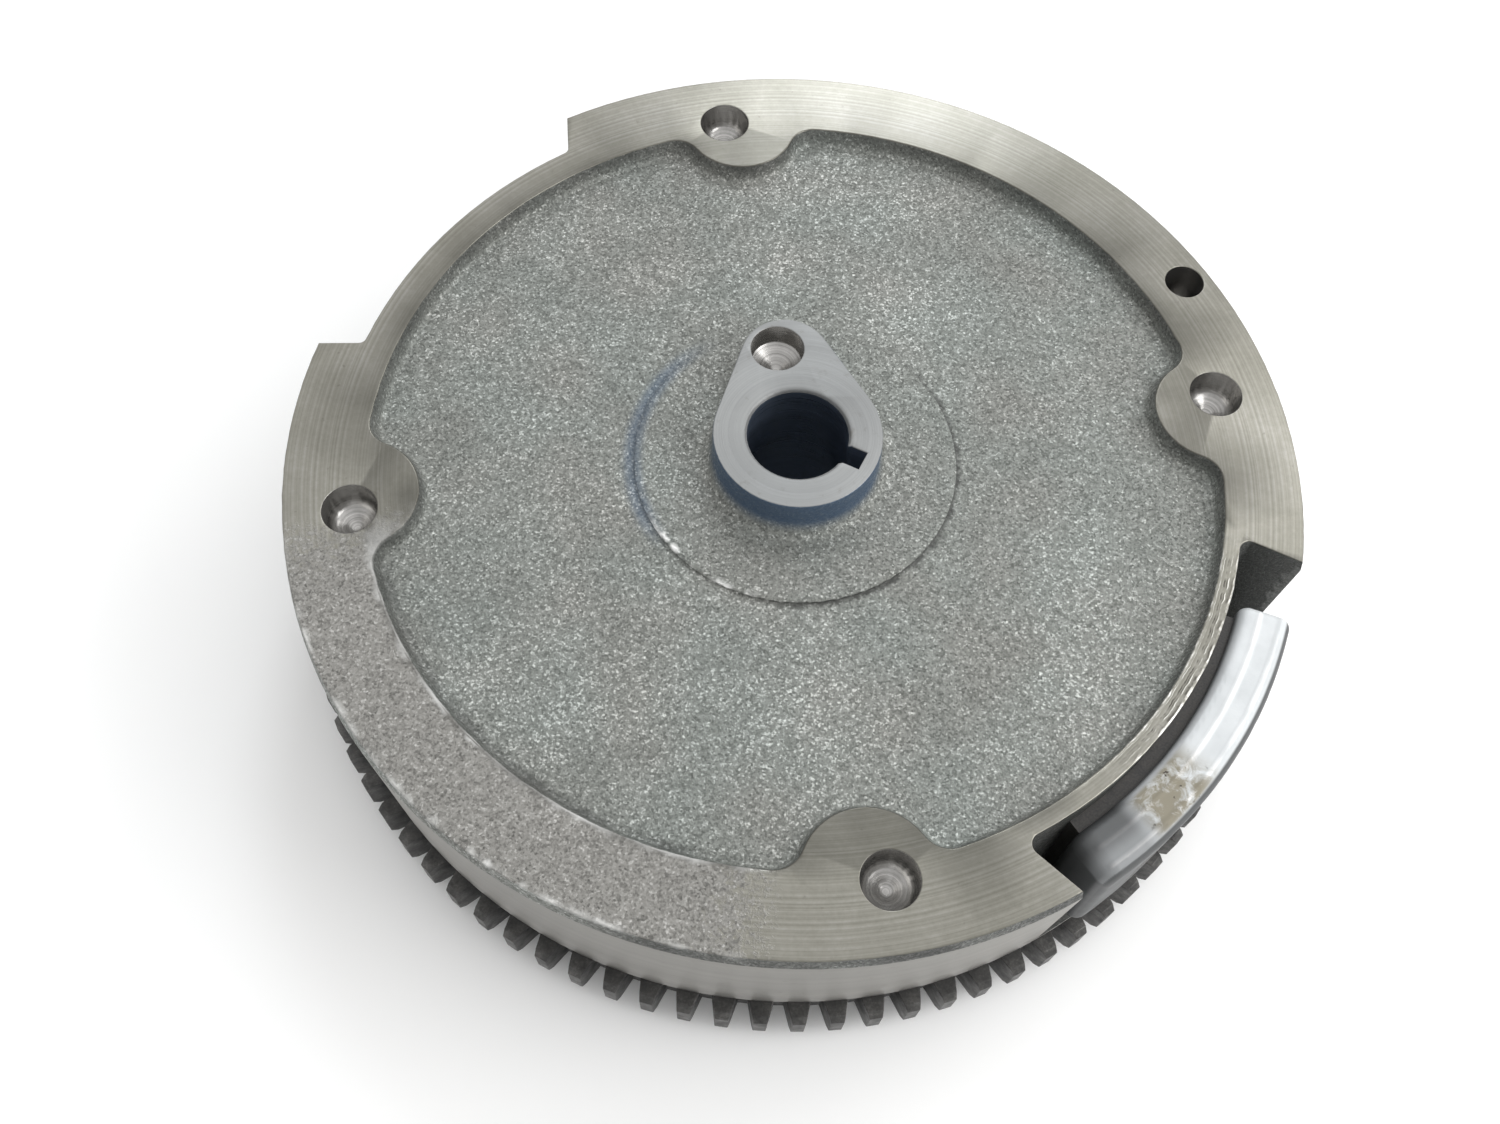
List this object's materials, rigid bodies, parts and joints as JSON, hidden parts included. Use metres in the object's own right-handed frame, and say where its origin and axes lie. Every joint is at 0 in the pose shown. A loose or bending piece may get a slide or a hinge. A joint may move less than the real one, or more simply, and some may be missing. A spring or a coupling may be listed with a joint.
{
  "type": "flywheel",
  "caption": "Cast-iron flywheel of a small petrol engine, fan side up, with a shrunk-on starter ring gear, a bonded ignition magnet and charging magnets in its cup.",
  "frame": {"origin": "on the crankshaft's axis, in the plane of the engine-side rim face that the flywheel rests on", "axes": "+Z along the crankshaft's axis towards the fan side; +X so that the fan's first peg hole lies 13 degrees anticlockwise of it seen from the fan side, and +Y completes a right-handed frame"},
  "size_m": [0.2026, 0.2026, 0.0558],
  "materials": {
    "cast_iron": "shot-blasted casting with turned faces",
    "gear_steel": "dark hardened steel, milled teeth",
    "die_cast": "smooth, slightly glossy",
    "adhesive": "cured epoxy",
    "ferrite": "ground ferrite",
    "lamination_steel": "stacked steel sheet",
    "rivet_steel": "bright steel",
    "moulding": "black glass-filled nylon"
  },
  "bodies": {
    "root": {"flywheel_casting": "cast_iron", "ring_gear": "gear_steel", "ignition_magnet_body": "die_cast", "magnet_bond_layer": "adhesive", "ignition_magnet": "ferrite", "pole_shoe_leading": "lamination_steel", "pole_shoe_trailing": "lamination_steel", "pole_shoe_rivets": "rivet_steel", "magnet_spacer_ring": "moulding", "charging_magnet_01": "ferrite", "charging_magnet_02": "ferrite", "charging_magnet_03": "ferrite", "charging_magnet_04": "ferrite", "charging_magnet_05": "ferrite", "charging_magnet_06": "ferrite", "charging_magnet_07": "ferrite", "charging_magnet_08": "ferrite", "charging_magnet_09": "ferrite", "charging_magnet_10": "ferrite", "charging_magnet_11": "ferrite", "charging_magnet_12": "ferrite"}
  },
  "joints": []
}
